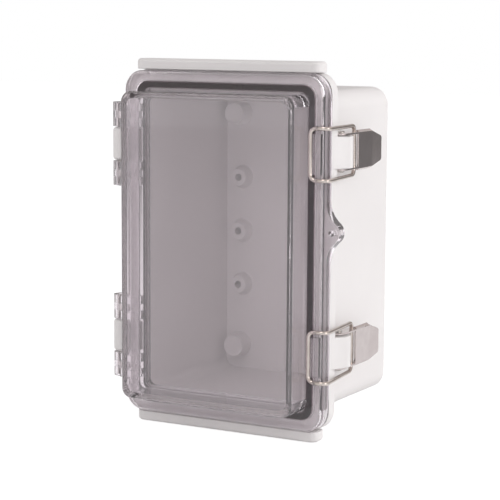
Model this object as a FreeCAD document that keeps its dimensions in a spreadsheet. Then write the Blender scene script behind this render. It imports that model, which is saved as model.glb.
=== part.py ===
import FreeCAD, Part
import Sketcher
import math
import os

# A wall box with a clear hinged lid and two draw latches. X runs to the right, Y into the
# wall and Z up. The origin is the middle of the flat rear face, so the lid faces -Y and
# every depth below is counted from the rear face towards the lid.

SIZES = [
    # body
    ("body_width", 84.2, "body across"),
    ("body_height", 137.1, "body height"),
    ("body_drop", 1.27, "middle of the body below the middle of the lid"),
    ("body_depth", 72.0, "rear face to the front face of the rim"),
    ("body_corner", 8.0, "radius of the body's four long edges"),
    ("rear_bevel", 2.9, "bevel round the rear face"),
    ("wall", 2.4, "side wall"),
    ("panel", 3.4, "thickness of the rear panel"),
    ("inner_corner", 5.0, "radius of the cavity's long edges"),
    # rim and guard bars
    ("rim_side", 6.9, "rim beyond the body at each side"),
    ("rim_end", 6.95, "rim beyond the body at top and bottom"),
    ("rim_thick", 5.5, "rim from front to rear"),
    ("rim_corner", 9.0, "corner radius of the rim"),
    ("guard_inset", 4.1, "guard bar's end inside the rim's side"),
    ("guard_thick", 4.5, "guard bar thickness"),
    ("guard_overhang", 4.2, "guard bar beyond the front face of the rim"),
    ("guard_corner", 3.6, "radius of the bar's front corners"),
    ("guard_bevel", 0.9, "bevel along the bar's outer edges"),
    # lid
    ("lid_gap", 0.3, "gap between rim and lid"),
    ("flange_end_inset", 0.5, "flange inside the rim at top and bottom"),
    ("flange_thick", 6.7, "lid flange from front to rear"),
    ("flange_corner", 8.5, "corner radius of the flange"),
    ("flange_step", 0.5, "step round the flange's side"),
    ("flange_step_depth", 2.0, "step behind the flange's front face"),
    ("flange_bevel", 1.0, "bevel of the flange's front edge"),
    ("window_side_inset", 7.4, "window inside the flange at each side"),
    ("window_end_inset", 8.5, "window inside the flange at top and bottom"),
    ("window_rise", 14.8, "window in front of the flange"),
    ("window_corner", 4.5, "corner radius of the window"),
    ("window_round", 2.4, "radius of the window's front edge"),
    ("window_wall", 2.8, "wall of the window"),
    # seal
    ("seal_inset", 5.3, "flange side to the seal"),
    ("seal_inset_ends", 4.4, "flange top and bottom to the seal"),
    ("seal_width", 3.3, "seal across"),
    ("seal_thick", 1.8, "seal from front to rear"),
    ("seal_groove", 3.0, "depth of the seal's groove"),
    ("seal_side_gap", 0.15, "gap beside the seal in its groove"),
    ("tongue_width", 1.4, "tongue of the rim that faces the seal"),
    # hinges
    ("hinge_clear", 0.6, "gap between the knuckles and the side of the flange"),
    ("hinge_out", 2.0, "hinge axis in front of the rim"),
    ("hinge_inset", 32.4, "hinge centre inside the flange's end"),
    ("knuckle_radius", 3.7, "outer radius of a knuckle"),
    ("body_knuckle", 14.5, "length of the body's knuckle"),
    ("lid_knuckle", 10.6, "length of each lid knuckle"),
    ("knuckle_gap", 0.4, "gap between knuckles"),
    ("knuckle_bevel", 1.0, "bevel at a knuckle's ends"),
    ("knuckle_rib", 3.8, "rib of a lid knuckle"),
    ("knuckle_skin", 1.3, "outer wall between the ribs"),
    ("gusset_rise", 1.0, "gusset in front of the flange"),
    ("gusset_inset", 5.6, "gusset from the flange edge inwards"),
    ("hinge_pin", 1.5, "radius of the hinge pin"),
    ("hinge_pin_recess", 0.6, "pin end below the knuckle end"),
    ("pin_play", 0.05, "running clearance round a pin or wire"),
    # latches
    ("latch_inset", 32.7, "latch centre inside the flange's end"),
    ("pivot_inset", 1.5, "lever pivot inside the rim's side"),
    ("pivot_behind", 5.9, "lever pivot behind the rim"),
    ("boss_radius", 5.2, "radius of the latch boss"),
    ("boss_length", 13.4, "length of the latch boss"),
    ("boss_nose", 1.5, "radius of the boss beside the rim's front face"),
    ("lever_sheet", 0.8, "sheet of the lever"),
    ("lever_play", 0.3, "gap between boss, ear and pin head"),
    ("lever_face", 3.0, "outer face of the lever outside the pivot"),
    ("ear_radius", 3.6, "rounding of the lever's ear"),
    ("ear_end", 1.2, "rounding of the ear's rear end"),
    ("ear_length", 19.6, "pivot to the ear's rear end"),
    ("web_start", 10.8, "pivot to the front edge of the lever's plate"),
    ("web_crease", 24.6, "pivot to the crease of the plate"),
    ("web_end", 31.1, "pivot to the tip"),
    ("web_height", 15.2, "height of the plate"),
    ("tip_height", 10.4, "height of the tip"),
    ("tip_lift", 1.2, "tip bent away from the wall"),
    ("tip_round", 1.5, "radius of the tip's corners"),
    ("skirt_start", 12.6, "pivot to the skirt's front end"),
    ("skirt_drop", 1.6, "skirt towards the wall"),
    ("skirt_flare", 1.0, "skirt beyond the plate's edge"),
    ("latch_pin", 1.0, "radius of the lever's pin"),
    ("latch_pin_head", 1.6, "radius of the pin's head"),
    ("latch_pin_cap", 0.6, "height of the pin's head"),
    # wire bails
    ("wire", 0.9, "radius of the wire"),
    ("wire_gap", 0.35, "gap between the wire and the flange's face"),
    ("front_leg_gap", 0.7, "gap between the front leg and the window"),
    ("bend_out", 2.9, "bend outside the side of the flange"),
    ("bail_front_height", 21.4, "arm centre to arm centre, in front"),
    ("bail_rear_height", 21.0, "arm centre to arm centre, behind"),
    ("bail_corner", 2.7, "centre radius of the wire's corners"),
    ("bail_bend", 2.5, "centre radius of the bend beside the flange"),
    ("bail_hole_out", 1.0, "rear leg outside the lever's pivot"),
    ("bail_hole_behind", 11.05, "rear leg behind the lever's pivot"),
    ("catch_gap", 0.35, "gap between the front leg and its catch"),
    ("catch_height", 16.8, "height of the catch"),
    ("catch_rise", 1.5, "catch in front of the flange"),
    ("catch_inset", 0.9, "catch inside the flange's edge"),
    # sealing tab
    ("tab_height", 9.7, "tab centre above the middle"),
    ("tab_reach", 6.5, "lid's tab beyond the flange"),
    ("body_tab_reach", 4.9, "body's tab beyond the rim"),
    ("tab_base", 27.5, "height of the tab where it leaves the rim"),
    ("tab_end", 5.0, "radius of the tab's end"),
    ("body_tab_thick", 2.5, "thickness of the body's tab"),
    ("tab_hole", 1.3, "radius of the seal wire's hole"),
    ("tab_hole_out", 2.6, "hole centre beyond the rim"),
    # screw bosses inside
    ("stud_inset", 10.8, "screw boss inside the side of the body"),
    ("stud_pitch", 25.3, "pitch of the screw bosses"),
    ("stud_drop", 1.7, "middle screw bosses below the middle of the lid"),
    ("stud_tip", 4.0, "radius of a screw boss at its tip"),
    ("stud_draft", 17.0, "draft of a screw boss in degrees"),
    ("stud_length", 4.4, "screw boss in front of the panel"),
    ("stud_hole", 1.65, "radius of its hole"),
    ("stud_hole_depth", 5.5, "depth of its hole"),
    ("post_inset", 10.0, "corner post inside the side of the body"),
    ("post_end_inset", 13.85, "corner post inside the end of the body"),
    ("post_tip", 4.95, "radius of a corner post at its tip"),
    ("post_draft", 5.0, "draft of a corner post in degrees"),
    ("post_length", 7.4, "corner post in front of the panel"),
    ("wall_hole", 2.1, "radius of the wall screw's hole"),
    ("wall_hole_depth", 8.5, "depth of the wall screw's hole"),
]

# Flats round the bent wire.
WIRE_FLATS = 10

os.makedirs("parts", exist_ok=True)
doc = FreeCAD.newDocument("Enclosure")
sheet = doc.addObject("Spreadsheet::Sheet", "dim")
for row, (alias, number, meaning) in enumerate(SIZES, start=1):
    sheet.set(f"A{row}", meaning)
    sheet.set(f"B{row}", str(number))
    sheet.setAlias(f"B{row}", alias)
doc.recompute()

# Widths and heights, worked out from the body.
RIM_WIDTH = "(dim.body_width + 2 * dim.rim_side)"
RIM_HEIGHT = "(dim.body_height + 2 * dim.rim_end)"
FLANGE_WIDTH = RIM_WIDTH
FLANGE_HEIGHT = f"({RIM_HEIGHT} - 2 * dim.flange_end_inset)"
WINDOW_WIDTH = f"({FLANGE_WIDTH} - 2 * dim.window_side_inset)"
WINDOW_HEIGHT = f"({FLANGE_HEIGHT} - 2 * dim.window_end_inset)"
HINGE_X = f"({FLANGE_WIDTH} / 2 + dim.hinge_clear + dim.knuckle_radius)"
HINGE_HEIGHT = f"({FLANGE_HEIGHT} / 2 - dim.hinge_inset)"
LATCH_HEIGHT = f"({FLANGE_HEIGHT} / 2 - dim.latch_inset)"
PIVOT_X = f"({RIM_WIDTH} / 2 - dim.pivot_inset)"
BAIL_FRONT_X = f"({WINDOW_WIDTH} / 2 + dim.front_leg_gap + dim.wire)"
BAIL_BEND_X = f"({FLANGE_WIDTH} / 2 + dim.bend_out)"
STUD_X = "(dim.body_width / 2 - dim.stud_inset)"
POST_X = "(dim.body_width / 2 - dim.post_inset)"
POST_HEIGHT = "(dim.body_height / 2 - dim.post_end_inset)"

# Depths from the rear face.
RIM_FRONT = "dim.body_depth"
RIM_REAR = "(dim.body_depth - dim.rim_thick)"
LID_REAR = "(dim.body_depth + dim.lid_gap)"
FLANGE_FRONT = f"({LID_REAR} + dim.flange_thick)"
WINDOW_FRONT = f"({FLANGE_FRONT} + dim.window_rise)"
GROOVE_FLOOR = f"({LID_REAR} + dim.seal_groove)"
SEAL_REAR = f"({GROOVE_FLOOR} - dim.seal_thick)"
HINGE_DEPTH = "(dim.body_depth + dim.hinge_out)"
PIVOT_DEPTH = f"({RIM_REAR} - dim.pivot_behind)"
BAIL_DEPTH = f"({FLANGE_FRONT} + dim.wire_gap + dim.wire)"
CATCH_X = f"({BAIL_FRONT_X} + dim.wire + dim.catch_gap)"
EAR_GAP = "(dim.boss_length / 2 + dim.lever_play)"


def value(expression):
    """The number that an expression of the sheet gives now."""
    result = sheet.evalExpression(expression)
    return float(getattr(result, "Value", result))


def origin_plane(body, role):
    """One of the body's own origin planes."""
    return next(plane for plane in body.Origin.OriginFeatures if plane.Role == role)


def new_body(name):
    """An empty body whose label names its file."""
    body = doc.addObject("PartDesign::Body", name)
    body.Label = name
    return body


def new_sketch(body, name, role, offset="0"):
    """A sketch on an origin plane of the body, moved along the plane's normal."""
    sketch = body.newObject("Sketcher::SketchObject", name)
    sketch.AttachmentSupport = [(origin_plane(body, role), "")]
    sketch.MapMode = "FlatFace"
    sketch.setExpression("AttachmentOffset.Base.z", offset)
    return sketch


def tie_point(sketch, geometry, position, across, up):
    """Hold a point of the sketch at two distances from the origin."""
    for kind, expression in (("DistanceX", across), ("DistanceY", up)):
        constraint = Sketcher.Constraint(kind, -1, 1, geometry, position, value(expression))
        index = sketch.addConstraint(constraint)
        sketch.setExpression(f"Constraints[{index}]", expression)


def tie_radius(sketch, geometry, radius):
    """Hold the radius of an arc or a circle."""
    index = sketch.addConstraint(Sketcher.Constraint("Radius", geometry, value(radius)))
    sketch.setExpression(f"Constraints[{index}]", radius)


def add_circle(sketch, across, up, radius):
    """A circle about a point."""
    centre = FreeCAD.Vector(value(across), value(up), 0)
    upright = FreeCAD.Vector(0, 0, 1)
    geometry = sketch.addGeometry(Part.Circle(centre, upright, value(radius)), False)
    tie_point(sketch, geometry, 3, across, up)
    tie_radius(sketch, geometry, radius)


def add_polygon(sketch, corners):
    """A closed outline with straight sides, through corners given as (across, up)."""
    points = [FreeCAD.Vector(value(across), value(up), 0) for across, up in corners]
    count = len(points)
    first = sketch.GeometryCount
    for index, point in enumerate(points):
        sketch.addGeometry(Part.LineSegment(point, points[(index + 1) % count]), False)
    for index in range(count):
        before = first + (index - 1) % count
        sketch.addConstraint(Sketcher.Constraint("Coincident", before, 2, first + index, 1))
    for index, (across, up) in enumerate(corners):
        tie_point(sketch, first + index, 1, across, up)


def add_box(sketch, left, bottom, right, top):
    """An upright rectangle between two corners."""
    add_polygon(sketch, [(left, bottom), (right, bottom), (right, top), (left, top)])


def outer_tangent(start, end):
    """Where a line touches two circles (centre, radius) on their right-hand side."""
    (centre_a, radius_a), (centre_b, radius_b) = start, end
    along = centre_b - centre_a
    lean = (radius_a - radius_b) / along.Length
    along.normalize()
    right = FreeCAD.Vector(along.y, -along.x, 0)
    normal = right * math.sqrt(1 - lean * lean) + along * lean
    return centre_a + normal * radius_a, centre_b + normal * radius_b


def add_belt(sketch, wheels):
    """A closed outline that runs round wheels (across, up, radius), counterclockwise."""
    count = len(wheels)
    rounds = [(FreeCAD.Vector(value(across), value(up), 0), value(radius))
              for across, up, radius in wheels]
    runs = [outer_tangent(rounds[index], rounds[(index + 1) % count])
            for index in range(count)]
    first = sketch.GeometryCount
    for index, (start, end) in enumerate(runs):
        centre, radius = rounds[index]
        arrival = runs[index - 1][1]
        opening = math.atan2(arrival.y - centre.y, arrival.x - centre.x)
        closing = math.atan2(start.y - centre.y, start.x - centre.x)
        circle = Part.Circle(centre, FreeCAD.Vector(0, 0, 1), radius)
        sketch.addGeometry(Part.ArcOfCircle(circle, opening, closing), False)
        sketch.addGeometry(Part.LineSegment(start, end), False)
    for index, (across, up, radius) in enumerate(wheels):
        arc = first + 2 * index
        following = first + 2 * ((index + 1) % count)
        tie_point(sketch, arc, 3, across, up)
        tie_radius(sketch, arc, radius)
        sketch.addConstraint(Sketcher.Constraint("Tangent", arc, 2, arc + 1, 1))
        sketch.addConstraint(Sketcher.Constraint("Tangent", arc + 1, 2, following, 1))


def add_rounded_box(sketch, width, height, radius, drop="0"):
    """A rectangle with round corners, its middle on the origin or some way below."""
    across = f"({width}) / 2 - ({radius})"
    high = f"({height}) / 2 - ({radius}) - {drop}"
    low = f"-(({height}) / 2 - ({radius}) + {drop})"
    add_belt(sketch, [(f"-({across})", low, radius), (across, low, radius),
                      (across, high, radius), (f"-({across})", high, radius)])


def pad(body, name, sketch, length, backwards=False, both_ways=False, draft=None):
    """Material over a sketch's outline, on one side of it or on both."""
    feature = body.newObject("PartDesign::Pad", name)
    feature.Profile = sketch
    feature.setExpression("Length", length)
    feature.Reversed = backwards
    feature.SideType = "Symmetric" if both_ways else "One side"
    if draft:
        feature.setExpression("TaperAngle", draft)
    return feature


def pocket(body, name, sketch, length=None, backwards=False):
    """A cut over a sketch's outline: to a depth, or right through on both sides."""
    feature = body.newObject("PartDesign::Pocket", name)
    feature.Profile = sketch
    if length is None:
        feature.Type = "ThroughAll"
        feature.SideType = "Symmetric"
    else:
        feature.setExpression("Length", length)
        feature.Reversed = backwards
    return feature


def mirror(body, name, features, role):
    """The same features on the other side of an origin plane."""
    feature = body.newObject("PartDesign::Mirrored", name)
    feature.Originals = features
    feature.MirrorPlane = (origin_plane(body, role), [""])
    body.Tip = feature
    return feature


def dress_edges(body, name, kind, size, wanted):
    """A fillet or bevel on every edge of the body's present shape that passes a test."""
    doc.recompute()
    base = body.Tip
    names = [f"Edge{index}" for index, edge in enumerate(base.Shape.Edges, start=1)
             if wanted(edge)]
    feature = body.newObject(f"PartDesign::{kind}", name)
    feature.Base = (base, names)
    feature.setExpression("Radius" if kind == "Fillet" else "Size", size)
    return feature


def lies_at(edge, axis, place, reach=0.01):
    """Whether all of an edge lies at one place on an axis."""
    box = edge.BoundBox
    low = getattr(box, axis + "Min")
    high = getattr(box, axis + "Max")
    return abs(low - place) < reach and abs(high - place) < reach


def add_tab_outline(sketch, edge, reach):
    """The sealing tab: hollow curves sweep from the edge out to a round end."""
    side, end = value(edge), value("dim.tab_end")
    centre_z, half = value("dim.tab_height"), value("dim.tab_base / 2")
    nose = value(reach) - end
    sweep = (half ** 2 + nose ** 2 - end ** 2) / (2 * (end + nose))
    root = side - value("dim.wall")
    corner = FreeCAD.Vector
    upright = corner(0, 0, 1)
    turn = math.atan2(half, sweep - nose)
    low = corner(side + sweep, centre_z - half, 0)
    high = corner(side + sweep, centre_z + half, 0)
    tip = corner(side + nose, centre_z, 0)
    low_arc = Part.ArcOfCircle(Part.Circle(low, upright, sweep), math.pi - turn, math.pi)
    tip_arc = Part.ArcOfCircle(Part.Circle(tip, upright, end), -turn, turn)
    high_arc = Part.ArcOfCircle(Part.Circle(high, upright, sweep), math.pi, math.pi + turn)
    lines = [(corner(root, centre_z + half, 0), corner(root, centre_z - half, 0)),
             (corner(root, centre_z - half, 0), corner(side, centre_z - half, 0)),
             (corner(side, centre_z + half, 0), corner(root, centre_z + half, 0))]
    for start, finish in lines:
        sketch.addGeometry(Part.LineSegment(start, finish), False)
    for arc in (low_arc, tip_arc, high_arc):
        sketch.addGeometry(arc, False)
    back, floor, roof, low_id, tip_id, high_id = range(6)
    joints = [(back, 2, floor, 1), (floor, 2, low_id, 2), (roof, 1, high_id, 1),
              (roof, 2, back, 1)]
    for joint in joints:
        sketch.addConstraint(Sketcher.Constraint("Coincident", *joint))
    sketch.addConstraint(Sketcher.Constraint("Tangent", low_id, 1, tip_id, 1))
    sketch.addConstraint(Sketcher.Constraint("Tangent", tip_id, 2, high_id, 2))
    sketch.addConstraint(Sketcher.Constraint("Equal", low_id, high_id))
    sketch.addConstraint(Sketcher.Constraint("Horizontal", roof))
    sketch.addConstraint(Sketcher.Constraint("Horizontal", floor))
    sketch.addConstraint(Sketcher.Constraint("Horizontal", low_id, 3, low_id, 2))
    tie_point(sketch, back, 1, f"{edge} - dim.wall", "dim.tab_height + dim.tab_base / 2")
    tie_point(sketch, back, 2, f"{edge} - dim.wall", "dim.tab_height - dim.tab_base / 2")
    tie_point(sketch, tip_id, 3, f"{edge} + {reach} - dim.tab_end", "dim.tab_height")
    tie_radius(sketch, tip_id, "dim.tab_end")
    side_index = sketch.addConstraint(
        Sketcher.Constraint("DistanceX", -1, 1, low_id, 2, side))
    sketch.setExpression(f"Constraints[{side_index}]", edge)
    high_index = sketch.addConstraint(
        Sketcher.Constraint("DistanceX", -1, 1, high_id, 1, side))
    sketch.setExpression(f"Constraints[{high_index}]", edge)


def add_seal_ring(sketch, inset, width):
    """A ring along the seal: its outer edge inside the seal's own, and its width."""
    for edge in (inset, f"{inset} + {width}"):
        add_rounded_box(sketch, f"{FLANGE_WIDTH} - 2 * (dim.seal_inset + {edge})",
                        f"{FLANGE_HEIGHT} - 2 * (dim.seal_inset_ends + {edge})",
                        f"dim.flange_corner - (dim.seal_inset + {edge}) / 2")


def make_body():
    """The moulded base: box, rim, guard bars, knuckles, latch bosses and tab."""
    body = new_body("body")

    outline = new_sketch(body, "box_outline", "XZ_Plane", RIM_REAR)
    add_rounded_box(outline, "dim.body_width", "dim.body_height", "dim.body_corner",
                    "dim.body_drop")
    pad(body, "box", outline, RIM_REAR, backwards=True)
    dress_edges(body, "rear_edge", "Chamfer", "dim.rear_bevel",
                lambda edge: lies_at(edge, "Y", 0))

    outline = new_sketch(body, "rim_outline", "XZ_Plane", RIM_REAR)
    add_rounded_box(outline, RIM_WIDTH, RIM_HEIGHT, "dim.rim_corner")
    pad(body, "rim", outline, "dim.rim_thick")

    add_guard_bars(body)
    add_body_knuckles(body)
    add_latch_bosses(body)

    outline = new_sketch(body, "tab_outline", "XZ_Plane", f"{RIM_FRONT} - dim.body_tab_thick")
    add_tab_outline(outline, f"{RIM_WIDTH} / 2", "dim.body_tab_reach")
    pad(body, "tab", outline, "dim.body_tab_thick")
    outline = new_sketch(body, "tab_hole_outline", "XZ_Plane", RIM_FRONT)
    add_circle(outline, f"{RIM_WIDTH} / 2 + dim.tab_hole_out", "dim.tab_height",
               "dim.tab_hole")
    pocket(body, "tab_hole", outline, "dim.body_tab_thick")

    outline = new_sketch(body, "cavity_outline", "XZ_Plane", RIM_FRONT)
    add_rounded_box(outline, "dim.body_width - 2 * dim.wall", "dim.body_height - 2 * dim.wall",
                    "dim.inner_corner", "dim.body_drop")
    pocket(body, "cavity", outline, "dim.body_depth - dim.panel")

    outline = new_sketch(body, "tongue_outline", "XZ_Plane", RIM_FRONT)
    add_seal_ring(outline, "(dim.seal_width - dim.tongue_width) / 2", "dim.tongue_width")
    pad(body, "tongue", outline, f"{SEAL_REAR} - dim.lid_gap - {RIM_FRONT}")

    add_screw_bosses(body)
    return body


def add_guard_bars(body):
    """Two bars that stand in front of the rim, above and below the lid."""
    outline = new_sketch(body, "guard_outline", "XY_Plane", f"{RIM_HEIGHT} / 2")
    end = f"({RIM_WIDTH} / 2 - dim.guard_inset)"
    inner = f"{end} - dim.guard_corner"
    front = f"{RIM_FRONT} + dim.guard_overhang - dim.guard_corner"
    rear = f"{RIM_REAR} + dim.guard_corner"
    add_belt(outline, [(f"-({inner})", f"-({front})", "dim.guard_corner"),
                       (inner, f"-({front})", "dim.guard_corner"),
                       (inner, f"-({rear})", "dim.guard_corner"),
                       (f"-({inner})", f"-({rear})", "dim.guard_corner")])
    bar = pad(body, "guard", outline, "dim.guard_thick")
    top = value(f"{RIM_HEIGHT} / 2 + dim.guard_thick")
    bevel = dress_edges(body, "guard_edge", "Chamfer", "dim.guard_bevel",
                        lambda edge: lies_at(edge, "Z", top))
    mirror(body, "guards", [bar, bevel], "XY_Plane")


def add_body_knuckles(body):
    """The opaque knuckle in the middle of each hinge, on an arm behind the lid."""
    centre = HINGE_HEIGHT
    outline = new_sketch(body, "knuckle_outline", "XY_Plane",
                         f"{centre} - dim.body_knuckle / 2")
    add_circle(outline, f"-{HINGE_X}", f"-{HINGE_DEPTH}", "dim.knuckle_radius")
    knuckle = pad(body, "knuckle", outline, "dim.body_knuckle")
    ends = [value(f"{centre} - dim.body_knuckle / 2"), value(f"{centre} + dim.body_knuckle / 2")]
    bevel = dress_edges(body, "knuckle_ends", "Chamfer", "dim.knuckle_bevel",
                        lambda edge: any(lies_at(edge, "Z", end) for end in ends))
    outline = new_sketch(body, "arm_outline", "XY_Plane", f"{centre} - dim.body_knuckle / 2 "
                         "+ dim.knuckle_bevel")
    rear = f"-({HINGE_DEPTH} - dim.knuckle_radius)"
    add_box(outline, f"-{HINGE_X}", f"-{RIM_FRONT}", f"-({RIM_WIDTH} / 2 - dim.wall)", rear)
    arm = pad(body, "arm", outline, "dim.body_knuckle - 2 * dim.knuckle_bevel")
    outline = new_sketch(body, "body_bore_outline", "XY_Plane", "0")
    add_circle(outline, f"-{HINGE_X}", f"-{HINGE_DEPTH}", "dim.hinge_pin + dim.pin_play")
    mirror(body, "knuckles", [knuckle, bevel, arm], "XY_Plane")
    pocket(body, "body_bore", outline)


def add_latch_bosses(body):
    """The boss from the rim's front corner to behind it that carries each lever's pin."""
    outline = new_sketch(body, "boss_outline", "XY_Plane", LATCH_HEIGHT)
    wall_x = "dim.body_width / 2 - dim.wall / 2"
    add_belt(outline, [(wall_x, f"-({PIVOT_DEPTH} + dim.boss_radius / 2)", "dim.boss_radius / 2"),
                       (f"{RIM_WIDTH} / 2 - dim.boss_nose", f"-({RIM_FRONT} - dim.boss_nose)",
                        "dim.boss_nose"),
                       (PIVOT_X, f"-{PIVOT_DEPTH}", "dim.boss_radius"),
                       (wall_x, f"-({PIVOT_DEPTH} - dim.boss_radius)", "dim.boss_radius / 2")])
    boss = pad(body, "boss", outline, "dim.boss_length", both_ways=True)
    mirror(body, "bosses", [boss], "XY_Plane")
    outline = new_sketch(body, "boss_bore_outline", "XY_Plane", "0")
    add_circle(outline, PIVOT_X, f"-{PIVOT_DEPTH}", "dim.latch_pin + dim.pin_play")
    pocket(body, "boss_bore", outline)


def add_screw_bosses(body):
    """Six tapered screw bosses and four corner posts on the rear panel."""
    panel = "dim.panel"
    outline = new_sketch(body, "stud_outline", "XZ_Plane", f"{panel} + dim.stud_length")
    holes = new_sketch(body, "stud_hole_outline", "XZ_Plane", f"{panel} + dim.stud_length")
    for side in ("-", ""):
        for row in (-1, 0, 1):
            place = (f"{side}{STUD_X}", f"{row} * dim.stud_pitch - dim.stud_drop")
            add_circle(outline, *place, "dim.stud_tip")
            add_circle(holes, *place, "dim.stud_hole")
    pad(body, "studs", outline, "dim.stud_length + dim.panel / 2", backwards=True,
        draft="dim.stud_draft")
    pocket(body, "stud_holes", holes, "dim.stud_hole_depth")

    outline = new_sketch(body, "post_outline", "XZ_Plane", f"{panel} + dim.post_length")
    holes = new_sketch(body, "wall_hole_outline", "XZ_Plane", "0")
    for side in ("-", ""):
        for end in ("-", ""):
            place = (f"{side}{POST_X}", f"{end}{POST_HEIGHT} - dim.body_drop")
            add_circle(outline, *place, "dim.post_tip")
            add_circle(holes, *place, "dim.wall_hole")
    pad(body, "posts", outline, "dim.post_length + dim.panel / 2", backwards=True,
        draft="dim.post_draft")
    pocket(body, "wall_holes", holes, "dim.wall_hole_depth", backwards=True)


def make_lid():
    """The clear lid: stepped flange, raised window, ribbed knuckles, catches and tab."""
    body = new_body("lid")

    outline = new_sketch(body, "flange_outline", "XZ_Plane", LID_REAR)
    add_rounded_box(outline, FLANGE_WIDTH, FLANGE_HEIGHT, "dim.flange_corner")
    pad(body, "flange", outline, "dim.flange_thick - dim.flange_step_depth")

    outline = new_sketch(body, "face_outline", "XZ_Plane", LID_REAR)
    add_rounded_box(outline, f"{FLANGE_WIDTH} - 2 * dim.flange_step",
                    f"{FLANGE_HEIGHT} - 2 * dim.flange_step",
                    "dim.flange_corner - dim.flange_step")
    pad(body, "face", outline, "dim.flange_thick")
    front = -value(FLANGE_FRONT)
    dress_edges(body, "face_edge", "Chamfer", "dim.flange_bevel",
                lambda edge: lies_at(edge, "Y", front))

    outline = new_sketch(body, "window_outline", "XZ_Plane", LID_REAR)
    add_rounded_box(outline, WINDOW_WIDTH, WINDOW_HEIGHT, "dim.window_corner")
    pad(body, "window", outline, "dim.flange_thick + dim.window_rise")
    pane = -value(WINDOW_FRONT)
    dress_edges(body, "window_edge", "Fillet", "dim.window_round",
                lambda edge: lies_at(edge, "Y", pane))

    add_lid_knuckles(body)
    add_catches(body)

    outline = new_sketch(body, "tab_outline", "XZ_Plane", LID_REAR)
    add_tab_outline(outline, f"{FLANGE_WIDTH} / 2", "dim.tab_reach")
    pad(body, "tab", outline, "dim.flange_thick - dim.flange_step_depth")
    outline = new_sketch(body, "tab_hole_outline", "XZ_Plane", LID_REAR)
    add_circle(outline, f"{RIM_WIDTH} / 2 + dim.tab_hole_out", "dim.tab_height",
               "dim.tab_hole")
    pocket(body, "tab_hole", outline, "dim.flange_thick - dim.flange_step_depth",
           backwards=True)

    outline = new_sketch(body, "hollow_outline", "XZ_Plane", LID_REAR)
    add_rounded_box(outline, f"{WINDOW_WIDTH} - 2 * dim.window_wall",
                    f"{WINDOW_HEIGHT} - 2 * dim.window_wall",
                    "dim.window_corner - dim.window_wall / 2")
    pocket(body, "hollow", outline, "dim.flange_thick + dim.window_rise - dim.window_wall",
           backwards=True)

    outline = new_sketch(body, "groove_outline", "XZ_Plane", LID_REAR)
    add_seal_ring(outline, "-dim.seal_side_gap", "dim.seal_width + 2 * dim.seal_side_gap")
    pocket(body, "groove", outline, "dim.seal_groove", backwards=True)
    return body


def add_lid_knuckles(body):
    """Four clear knuckles, each two ribs joined by a thin outer wall, with their gussets."""
    ribs = []
    spans = []
    inner_end = "dim.body_knuckle / 2 + dim.knuckle_gap"
    outer_end = f"{inner_end} + dim.lid_knuckle"
    for side, name in ((1, "outer"), (-1, "inner")):
        near = f"{HINGE_HEIGHT} + {side} * ({inner_end})"
        far = f"{HINGE_HEIGHT} + {side} * ({outer_end})"
        low, high = (near, far) if side > 0 else (far, near)
        for edge, start in (("low", low), ("high", f"{high} - dim.knuckle_rib")):
            outline = new_sketch(body, f"{name}_{edge}_rib_outline", "XY_Plane", start)
            add_circle(outline, f"-{HINGE_X}", f"-{HINGE_DEPTH}", "dim.knuckle_radius")
            ribs.append(pad(body, f"{name}_{edge}_rib", outline, "dim.knuckle_rib"))
            outline = new_sketch(body, f"{name}_{edge}_gusset_outline", "XY_Plane", start)
            add_gusset_outline(outline)
            ribs.append(pad(body, f"{name}_{edge}_gusset", outline, "dim.knuckle_rib"))
        outline = new_sketch(body, f"{name}_skin_outline", "XY_Plane", low)
        add_circle(outline, f"-{HINGE_X}", f"-{HINGE_DEPTH}", "dim.knuckle_radius")
        add_circle(outline, f"-{HINGE_X}", f"-{HINGE_DEPTH}",
                   "dim.knuckle_radius - dim.knuckle_skin")
        spans.append(pad(body, f"{name}_skin", outline, "dim.lid_knuckle"))
    mirror(body, "lid_knuckles", ribs + spans, "XY_Plane")
    outline = new_sketch(body, "lid_bore_outline", "XY_Plane", "0")
    add_circle(outline, f"-{HINGE_X}", f"-{HINGE_DEPTH}", "dim.hinge_pin + dim.pin_play")
    pocket(body, "lid_bore", outline)


def add_gusset_outline(sketch):
    """The rib's arm: from the knuckle over the edge of the flange and onto its face."""
    edge = f"{FLANGE_WIDTH} / 2"
    front = f"{FLANGE_FRONT} + dim.gusset_rise"
    add_polygon(sketch, [
        (f"-{HINGE_X}", f"-({HINGE_DEPTH} + dim.knuckle_radius)"),
        (f"-({edge})", f"-({front})"),
        (f"-({edge} - dim.gusset_inset)", f"-({front})"),
        (f"-({edge} - dim.gusset_inset)", f"-({FLANGE_FRONT} - dim.flange_step_depth)"),
        (f"-({edge} - dim.flange_step)", f"-({LID_REAR})"),
        (f"-{HINGE_X}", f"-({LID_REAR})")])


def add_catches(body):
    """The raised block that each wire bail hooks behind."""
    outline = new_sketch(body, "catch_outline", "XZ_Plane", f"{FLANGE_FRONT} - dim.flange_bevel")
    low = f"{LATCH_HEIGHT} - dim.catch_height / 2"
    high = f"{LATCH_HEIGHT} + dim.catch_height / 2"
    add_box(outline, CATCH_X, low, f"{FLANGE_WIDTH} / 2 - dim.catch_inset", high)
    block = pad(body, "catch", outline, "dim.flange_bevel + dim.catch_rise")
    mirror(body, "catches", [block], "XY_Plane")


def make_gasket():
    """The soft ring that lies in the lid's groove, facing the rim's tongue."""
    body = new_body("gasket")
    outline = new_sketch(body, "ring_outline", "XZ_Plane", SEAL_REAR)
    add_seal_ring(outline, "0", "dim.seal_width")
    pad(body, "ring", outline, "dim.seal_thick")
    return body


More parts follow.
